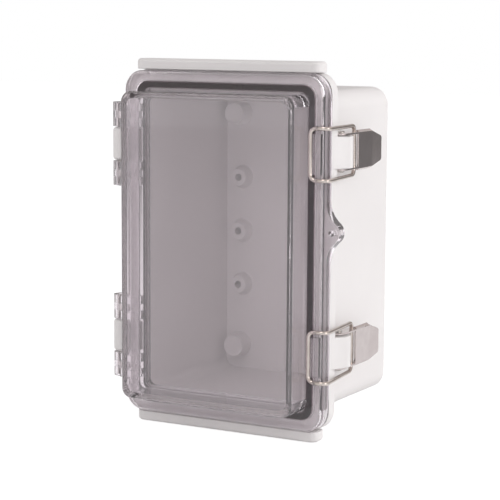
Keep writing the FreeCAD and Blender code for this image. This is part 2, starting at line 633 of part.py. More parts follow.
def make_hinge_pin(name, side):
    """A straight pin through the three knuckles of one hinge."""
    body = new_body(name)
    outline = new_sketch(body, "pin_outline", "XY_Plane")
    add_circle(outline, "0", "0", "dim.hinge_pin")
    length = ("dim.body_knuckle + 2 * (dim.knuckle_gap + dim.lid_knuckle) "
              "- 2 * dim.hinge_pin_recess")
    pad(body, "pin", outline, length, both_ways=True)
    place(body, f"-{HINGE_X}", HINGE_DEPTH, f"{side} * {HINGE_HEIGHT}")
    return body


def place(body, across, depth, up):
    """Put a finished piece at its place in the box."""
    body.setExpression("Placement.Base.x", across)
    body.setExpression("Placement.Base.y", f"-({depth})")
    body.setExpression("Placement.Base.z", up)


def make_latch_pin(name, side):
    """The lever's pin, with a low flat head outside each ear."""
    body = new_body(name)
    outline = new_sketch(body, "pin_outline", "XZ_Plane")
    seat = f"{EAR_GAP} + dim.lever_sheet + dim.lever_play"
    crown = f"{seat} + dim.latch_pin_cap"
    add_polygon(outline, [("0", f"-({crown})"), ("dim.latch_pin_head", f"-({crown})"),
                          ("dim.latch_pin_head", f"-({seat})"), ("dim.latch_pin", f"-({seat})"),
                          ("dim.latch_pin", seat), ("dim.latch_pin_head", seat),
                          ("dim.latch_pin_head", crown), ("0", crown)])
    turning = body.newObject("PartDesign::Revolution", "pin")
    turning.Profile = outline
    turning.ReferenceAxis = (outline, ["V_Axis"])
    turning.Angle = 360
    place(body, PIVOT_X, PIVOT_DEPTH, f"{side} * {LATCH_HEIGHT}")
    return body


def make_lever(name, side):
    """A pressed lever: a plate with a bent tip, flared skirts and two ears."""
    body = new_body(name)
    face = "dim.lever_face"
    back = f"({face} - dim.lever_sheet)"

    outline = new_sketch(body, "plate_outline", "XY_Plane")
    add_polygon(outline, [(face, "dim.web_start"), (face, "dim.web_crease"),
                          (f"{face} + dim.tip_lift", "dim.web_end"),
                          (f"{back} + dim.tip_lift", "dim.web_end"),
                          (back, "dim.web_crease"), (back, "dim.web_start")])
    pad(body, "plate", outline, "dim.web_height", both_ways=True)

    outline = new_sketch(body, "clip_outline", "YZ_Plane")
    for sign in ("", "-"):
        past = "(dim.web_end + dim.lever_sheet)"
        beyond = f"{sign}(dim.web_height / 2 + dim.lever_sheet)"
        corners = [("dim.web_crease", f"{sign}dim.web_height / 2"),
                   ("dim.web_end", f"{sign}dim.tip_height / 2"),
                   (past, f"{sign}dim.tip_height / 2"), (past, beyond),
                   ("dim.web_crease", beyond)]
        add_polygon(outline, corners)
    pocket(body, "clipped_corners", outline)
    end = value("dim.web_end")
    dress_edges(body, "tip_corners", "Fillet", "dim.tip_round",
                lambda edge: lies_at(edge, "Y", end) and edge.BoundBox.ZLength < 0.01)

    outline = new_sketch(body, "skirt_outline", "XZ_Plane", "-dim.web_crease")
    top = "dim.web_height / 2"
    add_polygon(outline, [(face, f"{top} - dim.lever_sheet"), (face, top),
                          (f"{face} - dim.skirt_drop", f"{top} + dim.skirt_flare"),
                          (f"{back} - dim.skirt_drop", f"{top} + dim.skirt_flare"
                           " - dim.lever_sheet / 2"),
                          (back, f"{top} - dim.lever_sheet")])
    skirt = pad(body, "skirt", outline, "dim.web_crease - dim.skirt_start")

    outline = new_sketch(body, "ear_outline", "XY_Plane", EAR_GAP)
    add_belt(outline, [(f"{face} - dim.ear_radius", "0", "dim.ear_radius"),
                       (f"{face} - dim.ear_end", "dim.ear_length", "dim.ear_end")])
    ear = pad(body, "ear", outline, "dim.lever_sheet")
    mirror(body, "sides", [skirt, ear], "XY_Plane")

    outline = new_sketch(body, "hole_outline", "XY_Plane")
    add_circle(outline, "0", "0", "dim.latch_pin + dim.pin_play")
    add_circle(outline, "dim.bail_hole_out", "dim.bail_hole_behind", "dim.wire + dim.pin_play")
    pocket(body, "holes", outline)
    place(body, PIVOT_X, PIVOT_DEPTH, f"{side} * {LATCH_HEIGHT}")
    return body


def rounded_loop(corners):
    """A closed wire of straight runs and tangent arcs, through (point, radius) corners."""
    count = len(corners)
    trims = []
    for index, (point, radius) in enumerate(corners):
        towards = corners[index - 1][0] - point
        onward = corners[(index + 1) % count][0] - point
        towards.normalize()
        onward.normalize()
        half = towards.getAngle(onward) / 2
        reach = radius / math.tan(half)
        bisector = towards + onward
        bisector.normalize()
        middle = point + bisector * (radius / math.sin(half) - radius)
        trims.append((point + towards * reach, middle, point + onward * reach))
    edges = []
    for index, (start, middle, end) in enumerate(trims):
        edges.append(Part.Arc(start, middle, end).toShape())
        edges.append(Part.LineSegment(end, trims[(index + 1) % count][0]).toShape())
    return Part.Wire(edges)


def wire_section(centre, heading, radius):
    """The wire's round section, as a ring of flats that touch the circle at their ends."""
    circle = Part.Circle(centre, heading, radius)
    full_turn = 2 * math.pi
    corners = [circle.value(full_turn * index / WIRE_FLATS) for index in range(WIRE_FLATS + 1)]
    return Part.makePolygon(corners)


def make_bail(name, side):
    """A closed loop of wire: across the lid, round its edge and back into the lever."""
    front_x, bend_x = value(BAIL_FRONT_X), value(BAIL_BEND_X)
    front_y, rear_y = -value(BAIL_DEPTH), -value(f"{PIVOT_DEPTH} - dim.bail_hole_behind")
    rear_x = value(f"{PIVOT_X} + dim.bail_hole_out")
    front_z, rear_z = value("dim.bail_front_height / 2"), value("dim.bail_rear_height / 2")
    corner, bend = value("dim.bail_corner"), value("dim.bail_bend")
    path = rounded_loop([
        (FreeCAD.Vector(front_x, front_y, front_z), corner),
        (FreeCAD.Vector(bend_x, front_y, front_z), bend),
        (FreeCAD.Vector(rear_x, rear_y, rear_z), corner),
        (FreeCAD.Vector(rear_x, rear_y, -rear_z), corner),
        (FreeCAD.Vector(bend_x, front_y, -front_z), bend),
        (FreeCAD.Vector(front_x, front_y, -front_z), corner)])
    first = path.Edges[0]
    start = first.valueAt(first.FirstParameter)
    heading = first.tangentAt(first.FirstParameter)
    section = wire_section(start, heading, value("dim.wire"))
    bail = doc.addObject("Part::Feature", name)
    bail.Label = name
    bail.Shape = path.makePipeShell([section], True, True)
    bail.Placement.Base = FreeCAD.Vector(0, 0, side * value(LATCH_HEIGHT))
    return bail


def check_and_write(pieces):
    """Stop at a failed feature or a bad shape, then write one file for each piece."""
    doc.recompute()
    for feature in doc.Objects:
        if "Invalid" in feature.State or "Error" in feature.State:
            raise RuntimeError(f"{feature.Label}: {feature.State}")
    for piece in pieces:
        shape = piece.Shape
        if shape.isNull() or not shape.isValid() or not shape.Solids:
            raise RuntimeError(f"{piece.Label} has no valid solid")
        print(piece.Label, len(shape.Solids), round(shape.Volume, 2))
    for piece in pieces:
        piece.Shape.exportStep(f"parts/{piece.Label}.step")


pieces = [make_body(), make_lid(), make_gasket()]
for side, end_name in ((1, "upper"), (-1, "lower")):
    pieces.append(make_hinge_pin(f"hinge_pin_{end_name}", side))
    pieces.append(make_latch_pin(f"latch_pin_{end_name}", side))
    pieces.append(make_lever(f"latch_lever_{end_name}", side))
    pieces.append(make_bail(f"latch_bail_{end_name}", side))
check_and_write(pieces)
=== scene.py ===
"""A hinged polycarbonate enclosure: the looks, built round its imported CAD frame.

The box stands upright with its clear lid towards the camera. Every length is in metres, in the
frame's axes: X runs to the right, Y into the wall and Z up.
"""

import logging
import math
from dataclasses import dataclass, field
from enum import Enum
from typing import Iterable, List, Sequence, Tuple

import bmesh
import bpy
from mathutils import Euler, Matrix, Vector

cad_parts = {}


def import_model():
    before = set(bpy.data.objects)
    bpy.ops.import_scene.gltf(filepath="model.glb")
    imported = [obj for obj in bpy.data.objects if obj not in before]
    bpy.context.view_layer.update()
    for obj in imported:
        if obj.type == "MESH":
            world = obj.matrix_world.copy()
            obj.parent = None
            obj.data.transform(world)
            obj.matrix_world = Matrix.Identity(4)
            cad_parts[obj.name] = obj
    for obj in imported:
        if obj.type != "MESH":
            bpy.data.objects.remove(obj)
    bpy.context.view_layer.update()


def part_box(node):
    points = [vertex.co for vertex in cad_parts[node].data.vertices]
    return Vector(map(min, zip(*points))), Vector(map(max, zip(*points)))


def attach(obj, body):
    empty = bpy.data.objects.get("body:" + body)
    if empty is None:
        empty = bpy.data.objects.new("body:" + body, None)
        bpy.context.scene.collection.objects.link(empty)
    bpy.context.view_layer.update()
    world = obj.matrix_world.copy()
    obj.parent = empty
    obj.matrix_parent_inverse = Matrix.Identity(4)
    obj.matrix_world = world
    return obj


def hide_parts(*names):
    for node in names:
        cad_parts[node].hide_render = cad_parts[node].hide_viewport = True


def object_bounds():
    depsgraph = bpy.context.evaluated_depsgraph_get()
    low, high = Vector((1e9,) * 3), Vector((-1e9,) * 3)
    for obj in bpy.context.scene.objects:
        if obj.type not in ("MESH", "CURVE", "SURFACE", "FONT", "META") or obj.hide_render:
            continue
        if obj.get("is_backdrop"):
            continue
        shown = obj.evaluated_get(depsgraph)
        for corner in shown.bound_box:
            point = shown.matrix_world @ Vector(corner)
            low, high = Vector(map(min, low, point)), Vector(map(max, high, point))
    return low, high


LOG = logging.getLogger("enclosure")

MILLIMETRE = 0.001

# Distances in metres and angles in radians within which things count as one or as level.
MERGE_WITHIN = 2e-6
SEAM_WITHIN = 1e-5
LEVEL_WITHIN = 1e-6
FLAT_WITHIN = math.radians(0.3)
# The turn at an edge from which it is shaded sharp or rounded.
SHARP_ABOVE = math.radians(32)

Colour = Tuple[float, float, float]
Range = Tuple[float, float]

WHITE: Colour = (1.0, 1.0, 1.0)


class Slot(Enum):
    """The record's material slots."""

    BODY = "body_plastic"
    CLEAR = "clear_plastic"
    SEAL = "seal_rubber"
    PIN = "pin_steel"
    LEVER = "lever_steel"
    WIRE = "wire_steel"


class End(Enum):
    """The two ends of the box, each with one hinge and one latch."""

    UPPER = "upper"
    LOWER = "lower"


class Nodes:
    """The node tree of a material or a world, filled from the left to the right."""

    def __init__(self, owner: bpy.types.ID, output: str) -> None:
        """Start an empty tree.

        Args:
            owner: the new material or world.
            output: the type name of its output node.
        """
        owner.use_nodes = True
        self.owner = owner
        self.tree = owner.node_tree
        self.tree.nodes.clear()
        self.output = self.add(output)
        self.coordinates = self.add("ShaderNodeTexCoord")

    @classmethod
    def of_material(cls, name: str) -> "Nodes":
        """The tree of a new material."""
        return cls(bpy.data.materials.new(name), "ShaderNodeOutputMaterial")

    @classmethod
    def of_world(cls, name: str) -> "Nodes":
        """The tree of a new world."""
        return cls(bpy.data.worlds.new(name), "ShaderNodeOutputWorld")

    def add(self, kind: str, **values: object) -> bpy.types.Node:
        """Add a node and set its properties.

        Args:
            kind: the node's type name.
            values: properties of the node by name.

        Returns:
            The new node.
        """
        node = self.tree.nodes.new(kind)
        for name, value in values.items():
            setattr(node, name, value)
        return node

    def link(self, source: bpy.types.NodeSocket, target: bpy.types.NodeSocket) -> None:
        """Join an output to an input."""
        self.tree.links.new(source, target)

    def noise(self, per_metre: float, detail: float = 3.0, roughness: float = 0.5,
              stretch: Sequence[float] = (1.0, 1.0, 1.0)) -> bpy.types.NodeSocket:
        """A noise pattern over the object's own coordinates.

        Args:
            per_metre: how many of its features fit into a metre.
            detail: the octaves of the noise.
            roughness: the share of the finer octaves.
            stretch: factors for X, Y and Z, where a small one draws the pattern out.

        Returns:
            The noise's value, from 0 to 1.
        """
        mapping = self.add("ShaderNodeMapping")
        mapping.inputs["Scale"].default_value = Vector(stretch)
        self.link(self.coordinates.outputs["Object"], mapping.inputs["Vector"])
        texture = self.add("ShaderNodeTexNoise")
        texture.inputs["Scale"].default_value = per_metre
        texture.inputs["Detail"].default_value = detail
        texture.inputs["Roughness"].default_value = roughness
        self.link(mapping.outputs["Vector"], texture.inputs["Vector"])
        return texture.outputs["Fac"]

    def spread(self, value: bpy.types.NodeSocket, low: float, high: float,
               start: float = 0.3, end: float = 0.7) -> bpy.types.NodeSocket:
        """Map a value from one range to another.

        Args:
            value: the value that is mapped.
            low: the result where the value is at the start.
            high: the result where the value is at the end.
            start: the start of the value's range.
            end: the end of the value's range.

        Returns:
            The mapped value.
        """
        node = self.add("ShaderNodeMapRange")
        node.inputs["From Min"].default_value = start
        node.inputs["From Max"].default_value = end
        node.inputs["To Min"].default_value = low
        node.inputs["To Max"].default_value = high
        self.link(value, node.inputs["Value"])
        return node.outputs["Result"]

    def blend_colours(self, factor: bpy.types.NodeSocket, one: Colour,
                      other: Colour) -> bpy.types.NodeSocket:
        """Mix two plain colours.

        Args:
            factor: 0 for the first colour and 1 for the other.
            one: the first colour.
            other: the other colour.

        Returns:
            The mixed colour.
        """
        node = self.add("ShaderNodeMix", data_type="RGBA")
        colour_in = [socket for socket in node.inputs if socket.type == "RGBA"]
        colour_in[0].default_value = (*one, 1.0)
        colour_in[1].default_value = (*other, 1.0)
        self.link(factor, node.inputs["Factor"])
        return [socket for socket in node.outputs if socket.type == "RGBA"][0]

    def bump(self, height: bpy.types.NodeSocket, distance: float,
             strength: float) -> bpy.types.NodeSocket:
        """Turn a height into a bumped normal.

        Args:
            height: the height, from 0 to 1.
            distance: how deep a height of 1 is, in metres.
            strength: the share of the bump that is used.

        Returns:
            The bumped normal.
        """
        node = self.add("ShaderNodeBump")
        node.inputs["Distance"].default_value = distance
        node.inputs["Strength"].default_value = strength
        self.link(height, node.inputs["Height"])
        return node.outputs["Normal"]

    def choose(self, factor: bpy.types.NodeSocket, one: bpy.types.Node,
               other: bpy.types.Node) -> bpy.types.Node:
        """Mix two shaders.

        Args:
            factor: 0 for the first shader and 1 for the other.
            one: the first shader's node.
            other: the other shader's node.

        Returns:
            The node of the mixed shader.
        """
        mix = self.add("ShaderNodeMixShader")
        self.link(factor, mix.inputs[0])
        self.link(one.outputs[0], mix.inputs[1])
        self.link(other.outputs[0], mix.inputs[2])
        return mix

    def plain(self, kind: str, colour: Colour, strength: float = 1.0) -> bpy.types.Node:
        """A simple shader of one colour.

        Args:
            kind: the shader node's type name.
            colour: its colour.
            strength: its strength, if it gives light.

        Returns:
            The shader's node.
        """
        shader = self.add(kind)
        shader.inputs["Color"].default_value = (*colour, 1.0)
        if "Strength" in shader.inputs:
            shader.inputs["Strength"].default_value = strength
        return shader

    def finish(self, shader: bpy.types.Node) -> bpy.types.ID:
        """Join the last shader to the output.

        Args:
            shader: the last shader's node.

        Returns:
            The finished material or world.
        """
        self.link(shader.outputs[0], self.output.inputs["Surface"])
        return self.owner


@dataclass(frozen=True)
class MouldedPlastic:
    """Opaque moulded plastic with a fine eroded grain and patches that are worn smoother."""

    name: str
    colour: Colour
    shade: Colour
    roughness: float
    shine: float = 0.4
    refraction: float = 1.5
    grain: float = 0.22 * MILLIMETRE
    grain_depth: float = 0.012 * MILLIMETRE
    grain_strength: float = 0.5
    cloud: float = 30.0 * MILLIMETRE
    worn_patch: float = 50.0 * MILLIMETRE
    polished: float = 0.05
    dulled: float = 0.07

    def build(self) -> bpy.types.Material:
        """Build the material.

        Returns:
            The finished material.
        """
        nodes = Nodes.of_material(self.name)
        shader = nodes.add("ShaderNodeBsdfPrincipled")
        clouds = nodes.spread(nodes.noise(1.0 / self.cloud, detail=4.0), 0.0, 1.0)
        nodes.link(nodes.blend_colours(clouds, self.colour, self.shade),
                   shader.inputs["Base Color"])
        grain = nodes.noise(1.0 / self.grain, detail=2.0)
        worn = nodes.noise(1.0 / self.worn_patch, detail=5.0, roughness=0.65)
        nodes.link(nodes.spread(worn, self.roughness - self.polished,
                                self.roughness + self.dulled), shader.inputs["Roughness"])
        nodes.link(nodes.bump(grain, self.grain_depth, self.grain_strength),
                   shader.inputs["Normal"])
        shader.inputs["IOR"].default_value = self.refraction
        shader.inputs["Specular IOR Level"].default_value = self.shine
        return nodes.finish(shader)


@dataclass(frozen=True)
class ClearPolycarbonate:
    """Polished clear plastic that lets plain light through to what lies behind it."""

    name: str
    colour: Colour
    lit_colour: Colour
    clearness: float = 0.955
    refraction: float = 1.585
    roughness: float = 0.015
    smear: float = 30.0 * MILLIMETRE
    smear_haze: float = 0.01

    def build(self) -> bpy.types.Material:
        """Build the material.

        Returns:
            The finished material.
        """
        nodes = Nodes.of_material(self.name)
        glass = nodes.add("ShaderNodeBsdfPrincipled")
        glass.inputs["Base Color"].default_value = (*self.colour, 1.0)
        glass.inputs["Transmission Weight"].default_value = self.clearness
        glass.inputs["IOR"].default_value = self.refraction
        smears = nodes.noise(1.0 / self.smear, detail=4.0)
        nodes.link(nodes.spread(smears, self.roughness, self.roughness + self.smear_haze),
                   glass.inputs["Roughness"])
        shadow = nodes.plain("ShaderNodeBsdfTransparent", self.lit_colour)
        path = nodes.add("ShaderNodeLightPath")
        return nodes.finish(nodes.choose(path.outputs["Is Shadow Ray"], glass, shadow))


@dataclass(frozen=True)
class FoamedRubber:
    """Dark closed-cell rubber."""

    name: str
    colour: Colour
    pore_colour: Colour
    roughness: float = 0.75
    pore: float = 0.5 * MILLIMETRE
    pore_depth: float = 0.05 * MILLIMETRE
    pore_strength: float = 0.6

    def build(self) -> bpy.types.Material:
        """Build the material.

        Returns:
            The finished material.
        """
        nodes = Nodes.of_material(self.name)
        shader = nodes.add("ShaderNodeBsdfPrincipled")
        pores = nodes.noise(1.0 / self.pore, detail=3.0, roughness=0.6)
        nodes.link(nodes.blend_colours(nodes.spread(pores, 0.0, 1.0), self.colour,
                                       self.pore_colour), shader.inputs["Base Color"])
        nodes.link(nodes.bump(pores, self.pore_depth, self.pore_strength),
                   shader.inputs["Normal"])
        shader.inputs["Roughness"].default_value = self.roughness
        return nodes.finish(shader)


@dataclass(frozen=True)
class Steel:
    """Bare stainless steel with fine lines from rolling or drawing."""

    name: str
    colour: Colour
    stain: Colour
    roughness: float
    roughness_share: Range = (0.8, 1.3)
    stains_per_metre: float = 180.0
    line: float = 0.12 * MILLIMETRE
    line_stretch: Tuple[float, float, float] = (1.0, 0.04, 1.0)
    line_depth: float = 0.004 * MILLIMETRE
    line_strength: float = 0.5

    def build(self) -> bpy.types.Material:
        """Build the material.

        Returns:
            The finished material.
        """
        nodes = Nodes.of_material(self.name)
        shader = nodes.add("ShaderNodeBsdfPrincipled")
        shader.inputs["Metallic"].default_value = 1.0
        stains = nodes.noise(self.stains_per_metre, detail=4.0, roughness=0.6)
        nodes.link(nodes.blend_colours(nodes.spread(stains, 0.0, 1.0), self.colour, self.stain),
                   shader.inputs["Base Color"])
        lines = nodes.noise(1.0 / self.line, detail=2.0, stretch=self.line_stretch)
        smoothest, roughest = self.roughness_share
        nodes.link(nodes.spread(lines, self.roughness * smoothest, self.roughness * roughest),
                   shader.inputs["Roughness"])
        nodes.link(nodes.bump(lines, self.line_depth, self.line_strength),
                   shader.inputs["Normal"])
        return nodes.finish(shader)


def show_mesh(name: str, mesh: bmesh.types.BMesh, material: bpy.types.Material,
              sharp_above: float = SHARP_ABOVE) -> bpy.types.Object:
    """Make an object from a bmesh and free the bmesh.

    Args:
        name: the new object's name.
        mesh: the bmesh that holds its shape.
        material: the finish of all its faces.
        sharp_above: edges that turn by more than this angle are shaded sharp.

    Returns:
        The new object.
    """
    data = bpy.data.meshes.new(name)
    mesh.to_mesh(data)
    mesh.free()
    data.shade_smooth()
    data.set_sharp_from_angle(angle=sharp_above)
    piece = bpy.data.objects.new(name, data)
    bpy.context.scene.collection.objects.link(piece)
    data.materials.append(material)
    return piece


def merged_copy(node: str) -> bmesh.types.BMesh:
    """Copy a frame node's mesh, with its loose triangles joined into flat faces.

    Args:
        node: the frame node's name.

    Returns:
        A closed bmesh of the node's shape.
    """
    mesh = bmesh.new()
    mesh.from_mesh(bpy.data.objects[node].data)
    bmesh.ops.remove_doubles(mesh, verts=mesh.verts, dist=MERGE_WITHIN)
    bmesh.ops.dissolve_limit(mesh, angle_limit=FLAT_WITHIN, verts=mesh.verts,
                             edges=mesh.edges, use_dissolve_boundaries=False)
    bmesh.ops.recalc_face_normals(mesh, faces=mesh.faces)
    return mesh


def put_in_order(mesh: bmesh.types.BMesh) -> None:
    """Sort a mesh's edges and faces by the numbers of their corners.

    Drawn-out edges leave their faces in another order each run, with the corners in the same one.

    Args:
        mesh: the bmesh that is sorted.
    """
    mesh.verts.index_update()
    for items in (mesh.edges, mesh.faces):
        ordered = sorted(items, key=lambda item: sorted(vert.index for vert in item.verts))
        rank = {item: place for place, item in enumerate(ordered)}
        items.sort(key=rank.get)


def soften_edges(piece: bpy.types.Object, width: float, segments: int = 2) -> None:
    """Give a piece small rounded edges.

    Args:
        piece: the object that is softened.
        width: the width of the rounding.
        segments: the faces across the rounding.
    """
    bevel = piece.modifiers.new("soft_edges", "BEVEL")
    bevel.width = width
    bevel.segments = segments
    bevel.limit_method = "ANGLE"
    bevel.angle_limit = SHARP_ABOVE
    bevel.use_clamp_overlap = False
    bevel.harden_normals = True
    bevel.miter_outer = "MITER_ARC"


def steady_normals(piece: bpy.types.Object) -> None:
    """Keep a piece's flat faces flat beside its rounded edges."""
    weighted = piece.modifiers.new("flat_faces", "WEIGHTED_NORMAL")
    weighted.mode = "FACE_AREA"
    weighted.weight = 100
    weighted.keep_sharp = True


def settle(piece: bpy.types.Object, body: str, node: str) -> None:
    """Tie a finished piece to the frame.

    Args:
        piece: the finished piece.
        body: the body that it moves with.
        node: the frame node that it stands for.
    """
    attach(piece, body)
    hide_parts(node)
    LOG.info("%s rides on %s and stands for %s", piece.name, body, node)


@dataclass
class BodyMoulding:
    """The opaque moulding with its rim, guard bars, bosses and posts."""

    edge: float = 0.3 * MILLIMETRE
    post_tip: float = -10.8 * MILLIMETRE
    tip_within: float = 0.1 * MILLIMETRE
    frontwards: float = -0.99
    dimple_rim: float = 1.7 * MILLIMETRE
    dimple_depth: float = 0.8 * MILLIMETRE
    finish: MouldedPlastic = MouldedPlastic("grey_polycarbonate", (0.80, 0.773, 0.772),
                                            (0.775, 0.748, 0.747), 0.42)

    def build(self) -> None:
        """Build and dress the moulding."""
        mesh = merged_copy("body")
        self.sink_dimples(mesh)
        piece = show_mesh("body_moulding", mesh, self.finish.build())
        soften_edges(piece, self.edge)
        steady_normals(piece)
        settle(piece, "base", "body")

    def sink_dimples(self, mesh: bmesh.types.BMesh) -> None:
        """Sink a shallow dimple into the flat tip of each corner post.

        Args:
            mesh: the bmesh of the moulding.
        """
        tips = [face for face in mesh.faces
                if face.normal.y < self.frontwards
                and abs(face.calc_center_median().y - self.post_tip) < self.tip_within]
        LOG.info("%d post tips get a dimple", len(tips))
        bmesh.ops.inset_individual(mesh, faces=tips, thickness=self.dimple_rim,
                                   depth=-self.dimple_depth)


@dataclass
class ClearLid:
    """The clear moulding with its raised window, ribbed knuckles and catches."""

    finish: ClearPolycarbonate = ClearPolycarbonate("clear_polycarbonate", (0.905, 0.872, 0.897),
                                                    (0.732, 0.701, 0.710))

    def build(self) -> None:
        """Build and dress the lid."""
        piece = show_mesh("clear_lid", merged_copy("lid"), self.finish.build())
        steady_normals(piece)
        settle(piece, "lid", "lid")


@dataclass
class LidSeal:
    """The foamed ring in the lid's groove."""

    edge: float = 0.4 * MILLIMETRE
    edge_faces: int = 3
    finish: FoamedRubber = FoamedRubber("dark_rubber", (0.122, 0.074, 0.088),
                                        (0.098, 0.058, 0.070))

    def build(self) -> None:
        """Build and dress the seal."""
        piece = show_mesh("lid_seal", merged_copy("gasket"), self.finish.build())
        soften_edges(piece, self.edge, self.edge_faces)
        settle(piece, "lid", "gasket")


@dataclass
class Pins:
    """The hinge pins and the latch pins with their domed heads."""

    hinge_chamfer: float = 0.25 * MILLIMETRE
    chamfer_faces: int = 2
    head_height: float = 0.6 * MILLIMETRE
    dome_share: float = 0.8
    dome_faces: int = 4
    shank_radius: float = 1.0 * MILLIMETRE
    around: int = 40
    finish: Steel = Steel("pin_stainless", (0.62, 0.60, 0.58), (0.56, 0.54, 0.52), 0.25)

    def build(self) -> None:
        """Build and dress all four pins."""
        material = self.finish.build()
        for end in End:
            node = f"hinge_pin_{end.value}"
            settle(self.hinge_pin(node, material), "base", node)
            node = f"latch_pin_{end.value}"
            settle(self.latch_pin(node, material), "base", node)

    def hinge_pin(self, node: str, material: bpy.types.Material) -> bpy.types.Object:
        """A straight rod with chamfered ends.

        Args:
            node: the frame node that it stands for.
            material: its finish.

        Returns:
            The rod.
        """
        low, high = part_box(node)
        radius = (high.x - low.x) / 2
        mesh = bmesh.new()
        bmesh.ops.create_cone(mesh, cap_ends=True, segments=self.around, radius1=radius,
                              radius2=radius, depth=high.z - low.z,
                              matrix=Matrix.Translation((low + high) / 2))
        ends = [edge for edge in mesh.edges
                if abs(edge.verts[0].co.z - edge.verts[1].co.z) < LEVEL_WITHIN]
        bmesh.ops.bevel(mesh, geom=ends, offset=self.hinge_chamfer, offset_type="OFFSET",
                        segments=self.chamfer_faces, profile=0.5, affect="EDGES", material=-1)
        return show_mesh(f"rod_{node}", mesh, material)

    def latch_pin(self, node: str, material: bpy.types.Material) -> bpy.types.Object:
        """A rivet with a low dome at both ends.

        Args:
            node: the frame node that it stands for.
            material: its finish.

        Returns:
            The rivet.
        """
        low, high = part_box(node)
        middle = (low + high) / 2
        radius = (high.x - low.x) / 2
        mesh = bmesh.new()
        bmesh.ops.create_cone(mesh, cap_ends=True, segments=self.around,
                              radius1=self.shank_radius, radius2=self.shank_radius,
                              depth=high.z - low.z - self.head_height,
                              matrix=Matrix.Translation(middle))
        for side in (-1, 1):
            crown = middle + Vector((0, 0, side * (high.z - low.z) / 2))
            self.add_head(mesh, crown, side, radius)
        return show_mesh(f"rivet_{node}", mesh, material)

    def add_head(self, mesh: bmesh.types.BMesh, crown: Vector, side: int, radius: float) -> None:
        """Add a low domed head to a rivet.

        Args:
            mesh: the bmesh of the rivet.
            crown: the middle of the head's outer face.
            side: 1 for the head on top and -1 for the one below.
            radius: the head's radius.
        """
        head = bmesh.new()
        sunk = Vector((0, 0, side * self.head_height / 2))
        bmesh.ops.create_cone(head, cap_ends=True, segments=self.around, radius1=radius,
                              radius2=radius, depth=self.head_height,
                              matrix=Matrix.Translation(crown - sunk))
        rim = [edge for edge in head.edges
               if all(abs(vert.co.z - crown.z) < LEVEL_WITHIN for vert in edge.verts)]
        bmesh.ops.bevel(head, geom=rim, offset=self.head_height * self.dome_share,
                        offset_type="OFFSET", segments=self.dome_faces, profile=0.5,
                        affect="EDGES", material=-1)
        data = bpy.data.meshes.new("pin_head")
        head.to_mesh(data)
        head.free()
        mesh.from_mesh(data)
        bpy.data.meshes.remove(data)


@dataclass
class BentWire:
    """A round wire bent along straight runs and arcs into a closed loop."""

    radius: float
    around: int = 20
    bend_step: float = math.radians(10)
    fewest_steps: int = 3

    def bend(self, corners: Sequence[Vector], radii: Sequence[float]) -> bmesh.types.BMesh:
        """Bend the wire round a ring of corners.

        Args:
            corners: the corners where the straight runs would meet.
            radii: the centre radius of the bend at each corner.

        Returns:
            The closed loop of wire.
        """
        count = len(corners)
        start = (corners[-1] + corners[0]) / 2
        heading = (corners[0] - corners[-1]).normalized()
        mesh = bmesh.new()
        turn = heading.to_track_quat("Z", "Y").to_matrix().to_4x4()
        bmesh.ops.create_circle(mesh, cap_ends=False, segments=self.around, radius=self.radius,
                                matrix=Matrix.Translation(start) @ turn)
        ring = list(mesh.edges)
        place = start
        for index, (corner, radius) in enumerate(zip(corners, radii)):
            leaving = (corners[(index + 1) % count] - corner).normalized()
            angle = heading.angle(leaving)
            reach = radius * math.tan(angle / 2)
            ring = self.run(mesh, ring, corner - heading * reach - place)
            axis = heading.cross(leaving).normalized()
            centre = corner - heading * reach + axis.cross(heading) * radius
            steps = max(self.fewest_steps, round(angle / self.bend_step))
            bent = bmesh.ops.spin(mesh, geom=ring, cent=centre, axis=axis, angle=angle,
                                  steps=steps, dvec=(0, 0, 0), use_duplicate=False)
            ring = [item for item in bent["geom_last"] if isinstance(item, bmesh.types.BMEdge)]
            place = corner + leaving * reach
            heading = leaving
        self.run(mesh, ring, start - place)
        bmesh.ops.remove_doubles(mesh, verts=mesh.verts, dist=SEAM_WITHIN)
        bmesh.ops.recalc_face_normals(mesh, faces=mesh.faces)
        put_in_order(mesh)
        return mesh

    def run(self, mesh: bmesh.types.BMesh, ring: List[bmesh.types.BMEdge],
            way: Vector) -> List[bmesh.types.BMEdge]:
        """Draw the wire's end out along a straight run.

        Args:
            mesh: the bmesh of the wire.
            ring: the edges of the wire's end.
            way: how far and in which direction it is drawn.

        Returns:
            The edges of the new end.
        """
        drawn = bmesh.ops.extrude_edge_only(mesh, edges=ring)["geom"]
        tips = [item for item in drawn if isinstance(item, bmesh.types.BMVert)]
        bmesh.ops.translate(mesh, verts=tips, vec=way)
        return [item for item in drawn if isinstance(item, bmesh.types.BMEdge)
                and all(vert in tips for vert in item.verts)]


